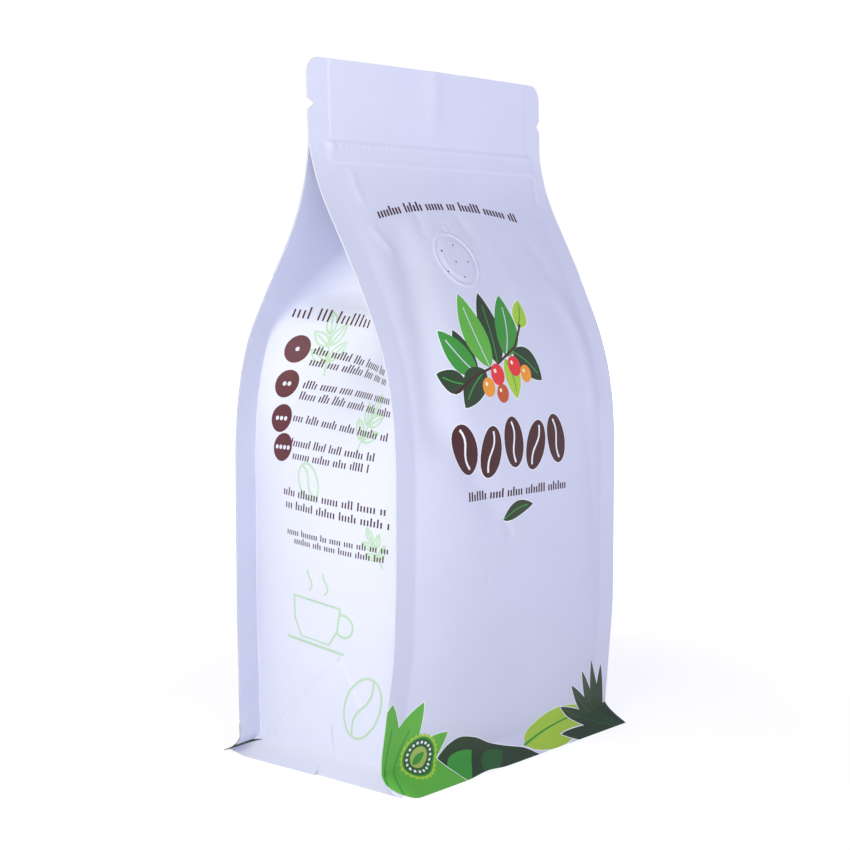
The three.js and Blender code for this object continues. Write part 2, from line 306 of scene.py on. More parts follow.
def panel_film(across, z, relief, side):
    """The front (-1) or back (1) panel's outer face, with its relief fading out along the fins."""
    relief = relief * smooth((FLAT_HALF_WIDTH - 4 - np.abs(across)) / 8 + 0.5)
    x, depth = spread(lambda a, h: panel_depth(a, h, relief), across, z, PANEL_ROUNDING)
    return settle(x, side * depth, z)


def front_film(across, z):
    relief = sum(crease(across, z, *one) for one in FRONT_CREASES)
    relief = relief + ripple(across, z, 3, 0.05) + zip_relief(across, z)
    relief = relief + header_relief(across, z) + valve_relief(across, z)
    return panel_film(across, z, relief, -1)


def back_film(across, z):
    relief = sum(crease(across, z, *one) for one in BACK_CREASES)
    relief = relief + ripple(across, z, 8, 0.06) + zip_relief(-across, z)
    relief = relief + header_relief(across, z)
    return panel_film(across, z, relief, 1)


def gusset_wall(u, z, deep):
    """A gusset's wall below its arch, bulged and higher up folded: how far out, and how far back."""
    s = np.clip(u / GUSSET_HALF, -1, 1)
    out = along(GUSSET_BULGE_AT, z) * (1 - flare_at(z)) * (1 - np.abs(s) ** GUSSET_CURVE)
    t = (s - FOLD_PLACE) / np.where(s > FOLD_PLACE, 1 - FOLD_PLACE, 1 + FOLD_PLACE)
    rounded = np.hypot(t, FOLD_ROUNDING) - FOLD_ROUNDING
    inwards = along(GUSSET_FOLD_AT, z) * (1 - rounded / (math.hypot(1, FOLD_ROUNDING) - FOLD_ROUNDING))
    return out - inwards, s * deep


PLEAT_FLAT_BELOW = 26  # where a gusset is less deep than this, part of each half stays flat
# Angles that film turns by, and how far an even bend of one unit of film then falls
TURNS = np.linspace(0.02, 2.3, 60)
DROPS = (1 - np.cos(TURNS)) / TURNS


def gusset_pleat(u, z, deep):
    """The folded part above the arch: each half leaves its fin flat and then bends to the middle."""
    bent = GUSSET_HALF * np.minimum(1, deep / PLEAT_FLAT_BELOW)
    turn = np.interp(deep / bent, DROPS, TURNS)
    run = GUSSET_HALF - np.minimum(np.abs(u), GUSSET_HALF)
    angle = turn * np.maximum(0, run - (GUSSET_HALF - bent)) / bent
    inwards = np.minimum(run, GUSSET_HALF - bent) + bent * np.sin(angle) / turn
    drop = deep * (1 - np.cos(angle)) / (1 - np.cos(turn))
    return -inwards, np.sign(u) * (deep - drop)


def fin_face(z):
    """How far from the middle a panel's outer face lies along its fins."""
    depth = along(DEPTH_AT, z)
    return depth + flare_at(z) * (SKIRT_HALF_DEPTH - depth)


def gusset_section(u, z):
    """A gusset's film with its two fins: how far out, and how far back, at a place across it."""
    flare = flare_at(z)
    slope = (fin_face(z + 0.05) - fin_face(z - 0.05)) / 0.1
    fin_depth = np.maximum(fin_face(z) - FIN_LAP * np.hypot(1, slope), 0.02)
    deep = np.maximum(fin_depth - flare * BASE_EAR, 0.05)
    wall = along(HALF_WIDTH_AT, z) - FIN_WIDTH
    root = wall + flare * (SKIRT_HALF_WIDTH - wall)
    out, back = gusset_wall(u, z, deep)
    pleat_out, pleat_back = gusset_pleat(u, z, deep)
    arch = ARCH_FOOT + ARCH_RISE * (1 - np.abs(np.clip(u / GUSSET_HALF, -1, 1)) ** 6)
    pleated = smooth((z - arch) / ARCH_SPREAD + 0.5)
    x = root + out + pleated * (pleat_out - out)
    y = back + pleated * (pleat_back - back)
    in_fin = (np.abs(u) - GUSSET_HALF) / FIN_WIDTH
    x = np.where(in_fin > 0, root + (tip_at(z) - root) * in_fin, x)
    y = np.where(in_fin > 0, np.sign(u) * fin_depth, y)
    return x, y


# Creases of the gussets: path across (front to back) and up, half width and rise
GUSSET_CREASES = [
    ([(-9, 43.5), (14, 24), (36, 6)], 0.9, 0.3),
    ([(-9, 43.5), (-15, 33), (-24, 19)], 0.9, 0.2),
    ([(-3, 20), (-4.1, 15), (-4.9, 4)], 0.8, -0.5),
    ([(16, 84), (2, 80), (-12, 78)], 3, -0.35),
    ([(-10, 151), (-14.9, 136), (-11.7, 111), (0, 98)], 2.5, -0.3),
]
FLAP_APEX = (-9, 43.5)
FLAP_HALF_WIDTH = 40
FLAP_STEP = 0.5
FLAP_PIECES = 40  # an edge is cut into this many, as one long piece would not follow the bulge


def flap_guides():
    """Narrow outlines along the flap's two edges, for the mesh to follow its step."""
    guides = []
    for foot in (-FLAP_HALF_WIDTH, FLAP_HALF_WIDTH):
        edge = []
        for i in range(FLAP_PIECES + 1):
            t = 0.02 + 0.94 * i / FLAP_PIECES
            edge.append((FLAP_APEX[0] + (foot - FLAP_APEX[0]) * t, FLAP_APEX[1] * (1 - t)))
        guides += [stroke(edge, width) for width in (0.8, 1.8)]
    return guides


def flap_relief(u, z):
    """The triangle at a gusset's foot, where the base's film is folded in behind it."""
    along_flap = (FLAP_APEX[1] - z) / FLAP_APEX[1]
    left = FLAP_APEX[0] + along_flap * (FLAP_HALF_WIDTH - FLAP_APEX[0])
    right = FLAP_APEX[0] - along_flap * (FLAP_HALF_WIDTH + FLAP_APEX[0])
    inside = smooth((left - u) / 1.2 + 0.5) * smooth((u - right) / 2.5 + 0.5)
    return FLAP_STEP * inside


def gusset_film(side, seed):
    """The outer face of the left (-1) or right (1) gusset, as a function of u and z."""

    def film(u, z):
        relief = sum(crease(u, z, *one) for one in GUSSET_CREASES)
        relief = relief + ripple(u, z, seed, 0.07) + flap_relief(u, z)
        relief = relief * smooth((GUSSET_HALF - 3 - np.abs(u)) / 6 + 0.5) * (1 - flare_at(z))
        x, y = spread(gusset_section, u, z, GUSSET_ROUNDING)
        return settle(side * (x + relief), y, z)

    return film


BASE_INSET = 1.1
BASE_RISE = 6.2
BASE_GAP = 0.45  # the base's film lies this far under the panels' in the skirt
BASE_CLEAR = 0.12
BASE_SLOPE = 16  # from the foot of the walls to where the base rests on the floor


def base_film(p, q):
    """The base's underside: lining the skirt, up to the walls' foot, and down again to the floor."""
    x_edge = SKIRT_HALF_WIDTH - BASE_INSET
    y_edge = SKIRT_HALF_DEPTH - BASE_INSET
    x, y = p * x_edge, q * y_edge
    inset = np.minimum(x_edge - np.abs(x), y_edge - np.abs(y))
    skirt = SKIRT_HALF_DEPTH - DEPTH_AT[0][1]
    share = np.clip(inset / skirt, 0, 1)
    lining = np.minimum(SKIRT_HEIGHT * (1 - (1 - share) ** (1 / SKIRT_CURVE)), BASE_RISE)
    down = smooth((inset - skirt) / BASE_SLOPE)
    z = np.maximum((lining - BASE_GAP) * (1 - down), BASE_CLEAR)
    return settle(x, y, lining, z)


# -------- printed shapes, drawn flat
LEAF_FULLNESS = 0.8  # below 1 a leaf is full, above it slender
RIB_WIDTH = 0.5
RIM_WIDTH = 0.6
SPRIG_LINE = 0.75


def turned(points, x, z, angle):
    """Points turned by an angle in degrees and moved to (x, z)."""
    c, s = math.cos(math.radians(angle)), math.sin(math.radians(angle))
    return [(x + px * c - pz * s, z + px * s + pz * c) for px, pz in points]


def ellipse(x, z, half_width, half_height, angle=0, steps=28):
    ring = [2 * math.pi * i / steps for i in range(steps)]
    return turned([(half_width * math.cos(t), half_height * math.sin(t)) for t in ring], x, z, angle)


def disc(x, z, radius):
    return ellipse(x, z, radius, radius)


def rosette(x, z, radius, teeth, depth):
    """A disc with a plainly toothed edge."""
    points = []
    for i in range(2 * teeth):
        r = radius if i % 2 else radius - depth
        turn = math.pi * i / teeth
        points.append((x + r * math.cos(turn), z + r * math.sin(turn)))
    return points


def leaf(x, z, length, width, angle, bend=0):
    """A pointed leaf from its stalk at (x, z), with bend the sideways reach of its middle."""
    edge = []
    steps = 14
    for i in range(1, steps):
        t = i / steps
        middle = bend * math.sin(math.pi * t)
        edge.append((length * t, middle, width / 2 * math.sin(math.pi * t**0.85) ** LEAF_FULLNESS))
    upper = [(s, m + w) for s, m, w in edge]
    lower = [(s, m - w) for s, m, w in reversed(edge)]
    return turned([(0, 0)] + upper + [(length, 0)] + lower, x, z, angle)


def stroke(points, width):
    """A line of one width along an open path, as one outline."""
    left, right = [], []
    for i, (x, z) in enumerate(points):
        ahead = points[min(i + 1, len(points) - 1)]
        behind = points[max(i - 1, 0)]
        dx, dz = ahead[0] - behind[0], ahead[1] - behind[1]
        length = math.hypot(dx, dz)
        nx, nz = -dz / length * width / 2, dx / length * width / 2
        left.append((x + nx, z + nz))
        right.append((x - nx, z - nz))
    return left + right[::-1]


def midrib(x, z, length, angle, bend, width, share=0.82):
    """The line down the middle of a leaf made with the same values."""
    steps = 8
    path = []
    for i in range(steps + 1):
        t = share * i / steps
        path.append((length * t, bend * math.sin(math.pi * t)))
    return stroke(turned(path, x, z, angle), width)


def veined_leaf(x, z, length, width, angle, bend, ink):
    rib_ink = "film" if ink in ("bright_green", "leaf_green") else "leaf_green"
    return [
        (ink, leaf(x, z, length, width, angle, bend)),
        (rib_ink, midrib(x, z, length, angle, bend, RIB_WIDTH)),
    ]


def bean_split(x, z, sway, reach, angle, width):
    """The curved line down the middle of a bean."""
    path = []
    for i in range(9):
        t = i / 8 * 2 - 1
        path.append((sway * math.sin(math.pi * t), reach * t))
    return stroke(turned(path, x, z, angle), width)


def bean(x, z, half_width, half_height, angle):
    split = bean_split(x, z, 0.16 * half_width, 0.8 * half_height, angle, 0.16 * half_width)
    return [("brown", ellipse(x, z, half_width, half_height, angle)), ("pale", split)]


def outline_bean(x, z, half_width, half_height, angle, line):
    """A bean drawn in line only."""
    return [
        ("pale_green", ellipse(x, z, half_width, half_height, angle)),
        ("film", ellipse(x, z, half_width - line, half_height - line, angle)),
        ("pale_green", bean_split(x, z, 0.2 * half_width, half_height - line, angle, line)),
    ]


def outline_leaf(x, z, length, width, angle):
    """A leaf drawn in line only, with its midrib."""
    line = SPRIG_LINE
    inner = leaf(line * 1.6, 0, length - 3.2 * line, width - 2 * line, 0)
    return [
        ("pale_green", leaf(x, z, length, width, angle)),
        ("film", turned(inner, x, z, angle)),
        ("pale_green", midrib(x, z, length, angle, 0, line)),
    ]


def outline_sprig(x, z, size, angle):
    """A stem with two pairs of leaves and one at its end, drawn in line only."""
    stem = turned([(0, 0), (size * 0.35, 0), (size * 0.7, 0)], x, z, angle)
    shapes = [("pale_green", stroke(stem, SPRIG_LINE))]
    for share, lean in ((0.22, 48), (0.48, 42)):
        for way in (-1, 1):
            (px, pz), = turned([(size * share, 0)], x, z, angle)
            shapes += outline_leaf(px, pz, size * 0.42, size * 0.2, angle + way * lean)
    (px, pz), = turned([(size * 0.66, 0)], x, z, angle)
    return shapes + outline_leaf(px, pz, size * 0.4, size * 0.2, angle)


def outline_cup(x, z, size, angle, line):
    """A cup with a handle, a saucer and two wisps above it, drawn in line only."""
    thick = line / size
    bowl = [(-0.5, 0.3), (0.5, 0.3), (0.46, -0.05), (0.3, -0.3), (-0.3, -0.3), (-0.46, -0.05)]
    inside = 1 - 2.4 * line / size
    shapes = []
    for ink, points in (
        ("pale_green", ellipse(0.55, 0.05, 0.2, 0.18)),
        ("film", ellipse(0.55, 0.05, 0.2 - thick, 0.18 - thick)),
        ("pale_green", bowl),
        ("film", [(px * inside, pz * inside) for px, pz in bowl]),
        ("pale_green", [(-0.6, -0.38), (0.6, -0.38), (0.6, -0.38 + thick), (-0.6, -0.38 + thick)]),
    ):
        shapes.append((ink, turned([(px * size, pz * size) for px, pz in points], x, z, angle)))
    for start in (-0.16, 0.16):
        wisp = []
        for i in range(5):
            t = i / 4
            wisp.append(((start + 0.06 * math.sin(5 * t)) * size, (0.42 + 0.3 * t) * size))
        shapes.append(("pale_green", stroke(turned(wisp, x, z, angle), line)))
    return shapes


def word_marks(start, end, height, seed, ink, weight=0.3, pitch=0.6):
    """A row of upright strokes in groups, with their width and spacing as shares of their height."""
    rng = np.random.default_rng(seed)
    length = math.dist(start, end)
    angle = math.degrees(math.atan2(end[1] - start[1], end[0] - start[0]))
    width = weight * height
    shapes = []
    run, strokes_left = 0, rng.integers(3, 9)
    while run < length - width:
        tall = height * rng.choice((1, 1, 1, 1.45))
        mark = [(run, 0), (run + width, 0), (run + width, tall), (run, tall)]
        shapes.append((ink, turned(mark, start[0], start[1], angle)))
        run += pitch * height
        strokes_left -= 1
        if strokes_left == 0:
            run += 0.7 * height
            strokes_left = rng.integers(3, 9)
    return shapes


def arched(shapes, left, right, rise, squeeze):
    """Shapes on a level row, lifted along a low arc and squeezed where the film leans back."""
    lifted = []
    for ink, points in shapes:
        moved = []
        for x, z in points:
            t = (x - left) / (right - left)
            moved.append((x, points[0][1] + (z - points[0][1]) / squeeze + rise * 4 * t * (1 - t)))
        lifted.append((ink, moved))
    return lifted


def drawn_heights(levels):
    """How high up a flat drawing these heights on the flared skirt are."""
    out = (SKIRT_HALF_DEPTH - DEPTH_AT[0][1]) * flare_at(levels)
    lengths = np.hypot(np.diff(levels), np.diff(out))
    return SKIRT_HEIGHT - np.append(np.cumsum(lengths[::-1])[::-1], 0)


def on_skirt(points):
    """Points of a flat drawing, lowered so that the flared film doesn't stretch their shape."""
    levels = np.linspace(0, SKIRT_HEIGHT, 40)
    drawn = drawn_heights(levels)
    placed = []
    for x, z in points:
        lowered = float(np.interp(z, [drawn[0] - 1, *drawn], [-1, *levels]))
        placed.append((x, z if z > SKIRT_HEIGHT else lowered))
    return placed


def in_ink(ink, *outlines):
    return [(ink, outline) for outline in outlines]


def rimmed(shapes):
    """The same shapes with a thin pale line round them all."""
    rims = []
    for _, points in shapes:
        for (x0, z0), (x1, z1) in zip(points, points[1:] + points[:1]):
            length = math.hypot(x1 - x0, z1 - z0)
            if length > 0.05:
                dx, dz = (x1 - x0) / length * RIM_WIDTH / 2, (z1 - z0) / length * RIM_WIDTH / 2
                near, far = (x0 - dx * 0.6, z0 - dz * 0.6), (x1 + dx * 0.6, z1 + dz * 0.6)
                rims.append(("pale", [(near[0] + dz, near[1] - dx), (far[0] + dz, far[1] - dx),
                                      (far[0] - dz, far[1] + dx), (near[0] - dz, near[1] + dx)]))
    return rims + shapes


def over_rims(figures):
    """Figures of several shapes each, over a pale line round the first shape of each."""
    shapes = rimmed([figure[0] for figure in figures])
    for figure in figures:
        shapes += figure
    return shapes


def hill(left, right, outline):
    """A low hill between two places, from (share across, height) points that a curve rounds."""
    shares = np.linspace(0, 1, 34)
    heights = along(outline, shares)
    return [(left + (right - left) * share, float(height)) for share, height in zip(shares, heights)]


def rimmed_leaf(x, z, length, width, angle, bend, ink, rib):
    shapes = rimmed(in_ink(ink, leaf(x, z, length, width, angle, bend)))
    return shapes + in_ink("leaf_green", midrib(x, z, length, angle, bend, rib))


# -------- the bag's print
def fruit_branch():
    """A slanting twig with paired leaves and a few round fruits."""
    twig = [(-36, 138), (-25, 143.5), (-11, 147), (3, 153), (11, 161)]
    leaves = [veined_leaf(*values) for values in (
        (-10, 147, 26, 12, 84, 0, "dark_green"),
        (-24, 142, 19, 10, 108, 0.5, "dark_green"),
        (-15, 146, 27, 13.5, 99, 1.5, "bright_green"),
        (-23, 144, 21, 11, 131, 1.2, "leaf_green"),
        (-4, 149.5, 24, 12.5, 68, -1.5, "leaf_green"),
        (-30, 141, 13, 8.5, 162, 0.8, "dark_green"),
        (-18, 145.5, 19, 11.5, 222, -1.5, "dark_green"),
        (1, 151.5, 18, 10.5, -38, 1.2, "dark_green"),
        (-5, 149, 15, 9, -78, 1, "lime"),
        (9, 160, 12, 7.5, 55, -0.8, "lime"),
    )]
    shapes = over_rims(leaves)
    shapes.append(("brown", stroke(twig, 0.9)))
    for x, z, radius, ink in (
        (-11.5, 143.6, 3.9, "red"),
        (-17.8, 139.4, 3.5, "orange"),
        (-10.2, 136.8, 3.4, "rust"),
        (-0.4, 146.2, 3.7, "red"),
        (5.6, 143.2, 3.2, "orange"),
    ):
        shapes.append((ink, disc(x, z, radius)))
        shapes.append(("cream", disc(x - radius * 0.3, z + radius * 0.35, radius * 0.2)))
    return shapes


def bean_row():
    """Five beans in a row, each with its own tilt and lift."""
    beans = []
    for i, (tilt, lift) in enumerate(((18, 0.5), (-12, -1.2), (8, 1.4), (-20, -0.6), (14, 0.8))):
        beans.append(bean(-33 + 13.4 * i, 117.6 + lift, 5.7, 9.4, tilt))
    return over_rims(beans)


def leaf_tuft(x, z, spans):
    """Slender dark leaves from (angle, length, width) spans, with a low mound over their stalks."""
    blades = [("dark_green", leaf(x, z, length, width, angle, 0.8)) for angle, length, width in spans]
    way = -1 if spans[0][0] > 90 else 1
    mound = [(-26, -0.5), (-19, 6), (-7, 7.5), (4, 9.5), (4, -0.5)]
    blades.append(("dark_green", [(x - way * px, z + pz) for px, pz in mound]))
    veins = [("deep_green", midrib(x, z, length, angle, 0.8, 0.4, 0.9)) for angle, length, _ in spans[1:4]]
    return rimmed(blades) + veins


def foot_rosette(x, z):
    """A toothed rosette with a ring of dots and a small leaf, partly on the skirt."""
    drawn = [
        ("lime", rosette(x, z, 9, 26, 0.9)),
        ("leaf_green", disc(x, z, 7.6)),
        ("deep_green", disc(x, z, 6.9)),
        ("olive", disc(x, z, 4)),
        ("leaf_green", leaf(x - 2.7, z - 2.2, 6.4, 3.4, 36)),
    ]
    dots = 18
    for i in range(dots):
        turn = 2 * math.pi * i / dots
        drawn.append(("pale", disc(x + 5.5 * math.cos(turn), z + 5.5 * math.sin(turn), 0.55)))
    return [(ink, on_skirt(points)) for ink, points in drawn]


def front_foot():
    """The band of leaves and low hills along the front's foot."""
    humps = [(0, -2), (0.1, 7.5), (0.2, 12.4), (0.28, 13.7), (0.4, 12.2), (0.57, 7.6), (0.7, 5.2),
             (0.84, 3), (1, -2)]
    shapes = rimmed(in_ink("dark_green", hill(-47, 14, humps)))
    shapes += [
        ("leaf_green", leaf(-40, -1, 19, 8, 26, 1)),
        ("deep_green", leaf(-24, -1, 17, 6, 18, 1)),
    ]
    shapes += rimmed_leaf(5, 3.6, 50, 12.5, 4, 1.4, "lime", 0.6)
    shapes += leaf_tuft(65, -1.5, ((173, 37, 6), (157, 36, 6), (141, 34, 6), (126, 32, 5.6), (111, 31, 5.6),
                                   (97, 26, 5)))
    shapes += rimmed(in_ink(
        "bright_green",
        leaf(-71, -4, 37, 17, 81, -1),
        leaf(-66, -6, 40, 15, 66, 1.5),
        leaf(-64, -6, 36, 15, 40, 2),
        [(-69, -1), (-69, 21), (-60, 20), (-41, 8), (-33, -1)],
    ))
    shapes += in_ink("leaf_green", midrib(-69, -4, 34, 81, -1, 0.7), midrib(-66, -6, 36, 66, 1.5, 0.7))
    return shapes + foot_rosette(-49.5, 10.2)


ARC_HEIGHT = 199.4
ARC_ENDS = (-43, 39.3)
ARC_RISE = 4
VALVE_HOLES = [(-9.6, 190.2), (-17.6, 188.1), (-5.2, 184.1), (-12.2, 184.2), (-18.8, 180.6), (-11.3, 178.6)]


def front_print():
    left, right = ARC_ENDS
    arc = word_marks((left, ARC_HEIGHT), (right, ARC_HEIGHT), 2.7, 2, "brown", 0.4, 0.66)
    shapes = arched(arc, left, right, ARC_RISE, VALVE_SLOPE)
    shapes += fruit_branch() + bean_row()
    shapes += word_marks((-32, 99.6), (29.6, 99), 2.3, 4, "brown", 0.4, 0.68)
    shapes += rimmed_leaf(-12, 91, 18, 5.8, 14, 1.4, "dark_green", 0.4)
    shapes += front_foot()
    # The valve's pinholes are not cut: near-black spots of painted shade stand in for the dark inside of
    # each hole.
    for x, z in VALVE_HOLES:
        shapes.append(("pinhole", ellipse(x, z, 0.42, 0.36, steps=8)))
    return shapes


def back_print():
    """The back is finished like the front: a foot of leaves, rows, and a few plain marks."""
    humps = [(0, -2), (0.12, 5), (0.3, 9.4), (0.5, 6), (0.7, 9.8), (0.88, 5), (1, -2)]
    shapes = rimmed(in_ink("dark_green", hill(-50, 44, humps)))
    shapes += leaf_tuft(-66, -1.5, ((7, 36, 6), (23, 35, 6), (39, 33, 6), (54, 31, 5.6), (69, 30, 5.6),
                                    (83, 26, 5)))
    shapes += rimmed_leaf(46, 2, 42, 11, 172, -1.2, "lime", 0.6)
    shapes += rimmed(in_ink(
        "bright_green",
        leaf(70, -5, 36, 17, 104, 1),
        leaf(66, -5, 32, 15, 128, -1.5),
        [(69, -1), (69, 20), (60, 16), (48, 5), (44, -1)],
    ))
    shapes.append(("leaf_green", midrib(66, -5, 32, 128, -1.5, 0.7)))
    shapes += word_marks((-28, 195), (30, 195), 3.6, 12, "brown", 0.27)
    shapes += bean(0, 168, 8, 12.5, 20)
    shapes += veined_leaf(-12, 160, 22, 9, 150, 1.2, "bright_green")
    shapes += veined_leaf(12, 160, 22, 9, 30, -1.2, "dark_green")
    for row in range(7):
        z = 138 - 5.2 * row
        shapes += word_marks((-38, z), (38 if row < 6 else 6, z), 1.9, 20 + row, "text_brown")
    for column in range(3):
        x = -32 + 32 * column
        shapes += [("brown", disc(x, 82, 6.2)), ("film", disc(x, 82, 2.2)), ("brown", disc(x, 82, 1.1))]
        shapes += word_marks((x - 10, 70), (x + 10, 70), 1.7, 40 + column, "text_brown")
    shapes += outline_sprig(-38, 34, 22, 60) + outline_cup(2, 44, 18, 0, 0.75)
    return shapes + outline_bean(38, 42, 7, 10, -20, 0.8)


# A gusset's rows as seen from outside, with the front to the right: both ends and height.
# They run down a little towards the front, and the first one is bolder.
GUSSET_ROWS = [
    ((-33.5, 164), (12, 158.4), 3),
    ((-21, 150.6), (20, 143.6), 2),
    ((-21, 146.4), (22, 140.6), 2),
    ((-20.5, 138.2), (27, 134.3), 2),
    ((-20.5, 134.2), (31, 129.8), 2),
    ((-20.5, 126.4), (28, 121.8), 2),
    ((-19, 117.6), (23, 114.7), 2),
    ((-17, 113), (21.5, 110.6), 2),
    ((-20.5, 100), (30, 96.2), 2.1),
    ((-19, 95.4), (31, 91.4), 2.1),
    ((-18, 85.8), (31, 82.8), 1.7),
    ((-14, 82.6), (29, 79.6), 1.7),
]
GUSSET_SPOTS = [(-27.5, 152.3), (-27.8, 139.6), (-26.4, 127.1), (-23.2, 116.8)]
GUSSET_SPOT_RADIUS = 5.1


def gusset_print(front_is_left):
    """Rows of strokes with dotted spots, and behind them pale figures drawn in line."""
    shapes = outline_sprig(-13, 142.5, 23, 102) + outline_sprig(14, 117, 21, 70)
    shapes += outline_bean(-7, 105.5, 5, 7.6, 35, 0.85) + outline_sprig(28, 77.5, 15, 115)
    shapes += outline_cup(-3, 55.5, 25, -6, 0.95) + outline_bean(20.5, 26.5, 8.6, 12.6, -25, 1)
    for i, (start, end, height) in enumerate(GUSSET_ROWS):
        ink, weight = ("brown", 0.24) if i == 0 else ("text_brown", 0.34)
        shapes += word_marks(start, end, height, 60 + i, ink, weight, 0.66)
    for i, (x, z) in enumerate(GUSSET_SPOTS):
        shapes.append(("disc_brown", disc(x, z, GUSSET_SPOT_RADIUS)))
        for k in range(i + 1):
            shapes.append(("film", disc(x + 2.1 * (k - i / 2), z, 0.8)))
    if front_is_left:
        return shapes
    return [(ink, [(-x, z) for x, z in points]) for ink, points in shapes]


def ear_ink_and_shade():
    """The back left ear's dark tip on the gusset: partly the print's end that wraps the ear, partly painted
    shade in the gap under the back fin's foot.
    """
    tip = [(36, 5.6), (42, 5), (50, 4.4), (50, 1.2), (46, 2.6), (40, 4.1)]
    return [("dark_green", tip)]


# -------- sheets
def steps_between(stops):
    """Grid lines from (place, spacing) stops: the spacing holds from its stop to the next."""
    lines = []
    for (start, spacing), (end, _) in zip(stops, stops[1:]):
        count = max(1, round((end - start) / spacing))
        lines += [start + (end - start) * i / count for i in range(count)]
    return lines + [stops[-1][0]]


def rounded_foot(x, z, width, height):
    """A quarter of an ellipse that cuts off a sheet's lower left corner at (x, z)."""
    turns = [math.pi / 2 * i / 10 for i in range(11)]
    return [(x + width * (1 - math.cos(t)), z + height * (1 - math.sin(t))) for t in turns]


def notch(depth):
    """The right side's tear notch, from its lower lip to its upper one."""
    return [
        (FLAT_HALF_WIDTH, NOTCH_HEIGHT - NOTCH_HALF_MOUTH),
        (FLAT_HALF_WIDTH - depth, NOTCH_HEIGHT),
        (FLAT_HALF_WIDTH, NOTCH_HEIGHT + NOTCH_HALF_MOUTH),
    ]


def top_corner():
    """The header's right corner, from its side to its top."""
    r = TOP_CORNER_RADIUS
    points = []
    for i in range(9):
        turn = math.pi / 2 * i / 8
        points.append((FLAT_HALF_WIDTH - r + r * math.cos(turn), BAG_HEIGHT - r + r * math.sin(turn)))
    return points


def panel_outline(left_foot):
    """A panel's cut edge: rounded top corners and a notch in each side of the header."""
    right_side = notch(NOTCH_DEPTH["right"]) + top_corner()
    left_side = notch(NOTCH_DEPTH["left"]) + top_corner()
    return left_foot + [(FLAT_HALF_WIDTH, 0)] + right_side + [(-x, z) for x, z in reversed(left_side)]


def inside(outline, spots):
    """Which of these spots lie inside an outline."""
    x, z = spots.T
    crossings = np.zeros(len(spots), int)
    ends = np.roll(np.array(outline, float), -1, axis=0)
    for (x0, z0), (x1, z1) in zip(outline, ends):
        if z0 != z1:
            spans = (z0 > z) != (z1 > z)
            crossings += spans & (x < x0 + (z - z0) * (x1 - x0) / (z1 - z0))
    return crossings % 2 == 1


def add(name, data):
    """An object in the scene that holds this mesh, lamp or camera."""
    thing = bpy.data.objects.new(name, data)
    bpy.context.scene.collection.objects.link(thing)
    return thing


CUT_TOLERANCE = 1e-4


def cut_flat(outline, columns, rows, prints, guides):
    """Cuts a flat sheet into triangles, each with the number of the topmost print over it."""
    points = [Vector((x, z)) for z in rows for x in columns]
    edges = []
    for polygon in [outline] + [shape for _, shape in prints] + guides:
        start, count = len(points), len(polygon)
        points += [Vector(p) for p in polygon]
        edges += [(start + i, start + (i + 1) % count) for i in range(count)]
    flat, _, triangles, _, _, _ = delaunay_2d_cdt(points, edges, [], 0, CUT_TOLERANCE, False)
    flat = np.array(flat)
    triangles = np.array(triangles)
    middles = flat[triangles].mean(axis=1)
    within = inside(outline, middles)
    triangles, middles = triangles[within], middles[within]
    owners = np.zeros(len(triangles), int)
    for number, (_, polygon) in enumerate(prints, 1):
        low, high = np.min(polygon, axis=0), np.max(polygon, axis=0)
        near = np.flatnonzero(np.all((middles > low) & (middles < high), axis=1))
        owners[near[inside(polygon, middles[near])]] = number
    used, corners = np.unique(triangles, return_inverse=True)
    return flat[used], corners.reshape(-1, 3), owners


def film_normals(film, places, outwards):
    """Unit normals of a film function by small differences, on its outer side."""
    step = 0.08
    u, v = places.T
    along_u = film(u + step, v) - film(u - step, v)
    along_v = film(u, v + step) - film(u, v - step)
    normals = np.cross(along_u, along_v) * outwards
    return normals / np.linalg.norm(normals, axis=1, keepdims=True)


def rim_of(corners):
    """The edges that only one triangle has, and the number of that triangle."""
    edges = np.concatenate([corners[:, [0, 1]], corners[:, [1, 2]], corners[:, [2, 0]]]).tolist()
    both_ways = {(a, b) for a, b in edges}
    at_rim = [i for i, (a, b) in enumerate(edges) if (b, a) not in both_ways]
    return np.array([edges[i] for i in at_rim]), np.array(at_rim) % len(corners)


def lay_inks(mesh, prints, owners, rim_owners):
    """Inks on the outer face and its cut edge; the inner face and an unprinted edge stay plain."""
    inks = ["film", "cut_edge"] + sorted({ink for ink, _ in prints} - {"film"})
    for ink in inks:
        mesh.materials.append(film_material(ink))
    ink_of = np.array([0] + [inks.index(ink) for ink, _ in prints])
    rim_slots = np.maximum(ink_of[rim_owners], 1)
    slots = np.concatenate([ink_of[owners], np.zeros(len(owners), int), rim_slots])
    mesh.polygons.foreach_set("material_index", slots.astype(np.int32))


def film_sheet(name, film, outline, columns, rows, prints, outwards, guides=()):
    """A closed thin sheet: outer face, inner face and the cut edge between them."""
    places, corners, owners = cut_flat(outline, columns, rows, prints, list(guides))
    outer = film(*places.T)
    normals = film_normals(film, places, outwards)
    points = np.concatenate([outer, outer - normals * FILM]) * MM
    count = len(outer)
    if outwards < 0:
        corners = corners[:, ::-1]
    rim, rim_triangles = rim_of(corners)
    rim_faces = np.stack([rim[:, 1], rim[:, 0], rim[:, 0] + count, rim[:, 1] + count], 1)
    faces = corners.tolist() + (corners[:, ::-1] + count).tolist() + rim_faces.tolist()
    mesh = bpy.data.meshes.new(name)
    mesh.from_pydata(points.tolist(), [], faces)
    lay_inks(mesh, prints, owners, owners[rim_triangles])
    mesh.polygons.foreach_set("use_smooth", [True] * len(faces))
    a, b, c = (points[rim_faces[:, k]] for k in (0, 1, 2))
    rim_normals = np.cross(b - a, c - b)
    rim_normals /= np.linalg.norm(rim_normals, axis=1, keepdims=True).clip(1e-12)
    loops = [normals[corners.ravel()], -normals[corners[:, ::-1].ravel()], np.repeat(rim_normals, 4, axis=0)]
    mesh.normals_split_custom_set(np.concatenate(loops).tolist())
    sheet = add(name, mesh)
    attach(sheet, "root")
    return sheet


